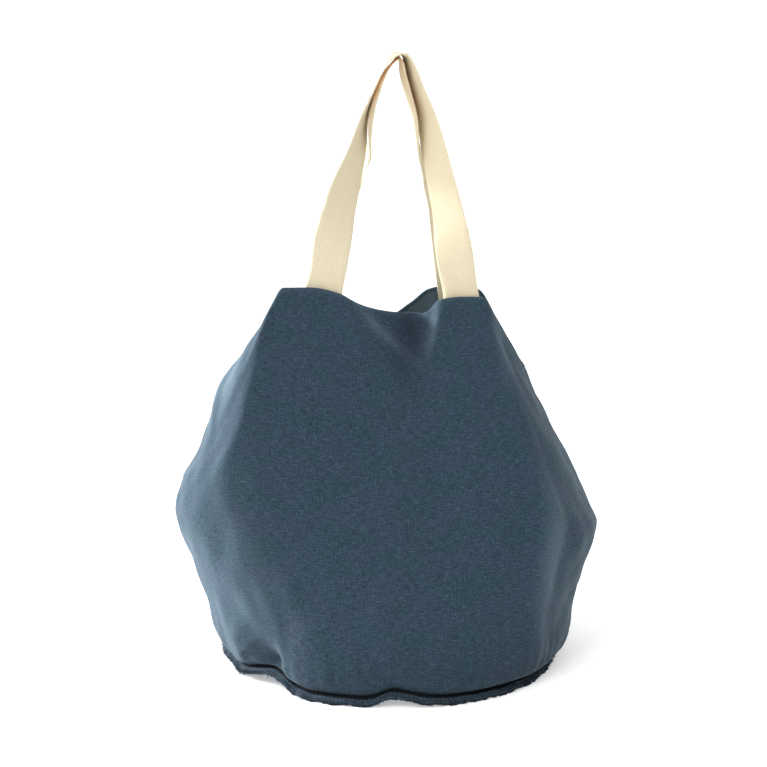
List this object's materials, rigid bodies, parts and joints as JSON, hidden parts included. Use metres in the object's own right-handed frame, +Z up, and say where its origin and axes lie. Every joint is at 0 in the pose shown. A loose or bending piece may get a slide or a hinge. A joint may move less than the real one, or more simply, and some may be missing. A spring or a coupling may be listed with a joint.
{
  "type": "round-bottomed cloth handbag",
  "caption": "Soft denim handbag on a round base, with a raw-edged seam round its foot, a wide mouth notched at the sides and arched webbing handles.",
  "frame": {"origin": "on the floor under the middle of the bag, at the underside of the round base", "axes": "+Z up out of the mouth; +X to the right along the mouth's long way; -Y is the front, the side that the picture shows"},
  "size_m": [0.3492, 0.2789, 0.4966],
  "materials": {
    "denim": "matte twill with a fine slubbed grain and light flecks, raw frayed edge at the foot",
    "webbing": "matte cream cotton webbing with fine lengthwise ribs"
  },
  "bodies": {
    "root": {"body": "denim", "base": "denim", "handle_front": "webbing", "handle_back": "webbing"}
  },
  "joints": []
}
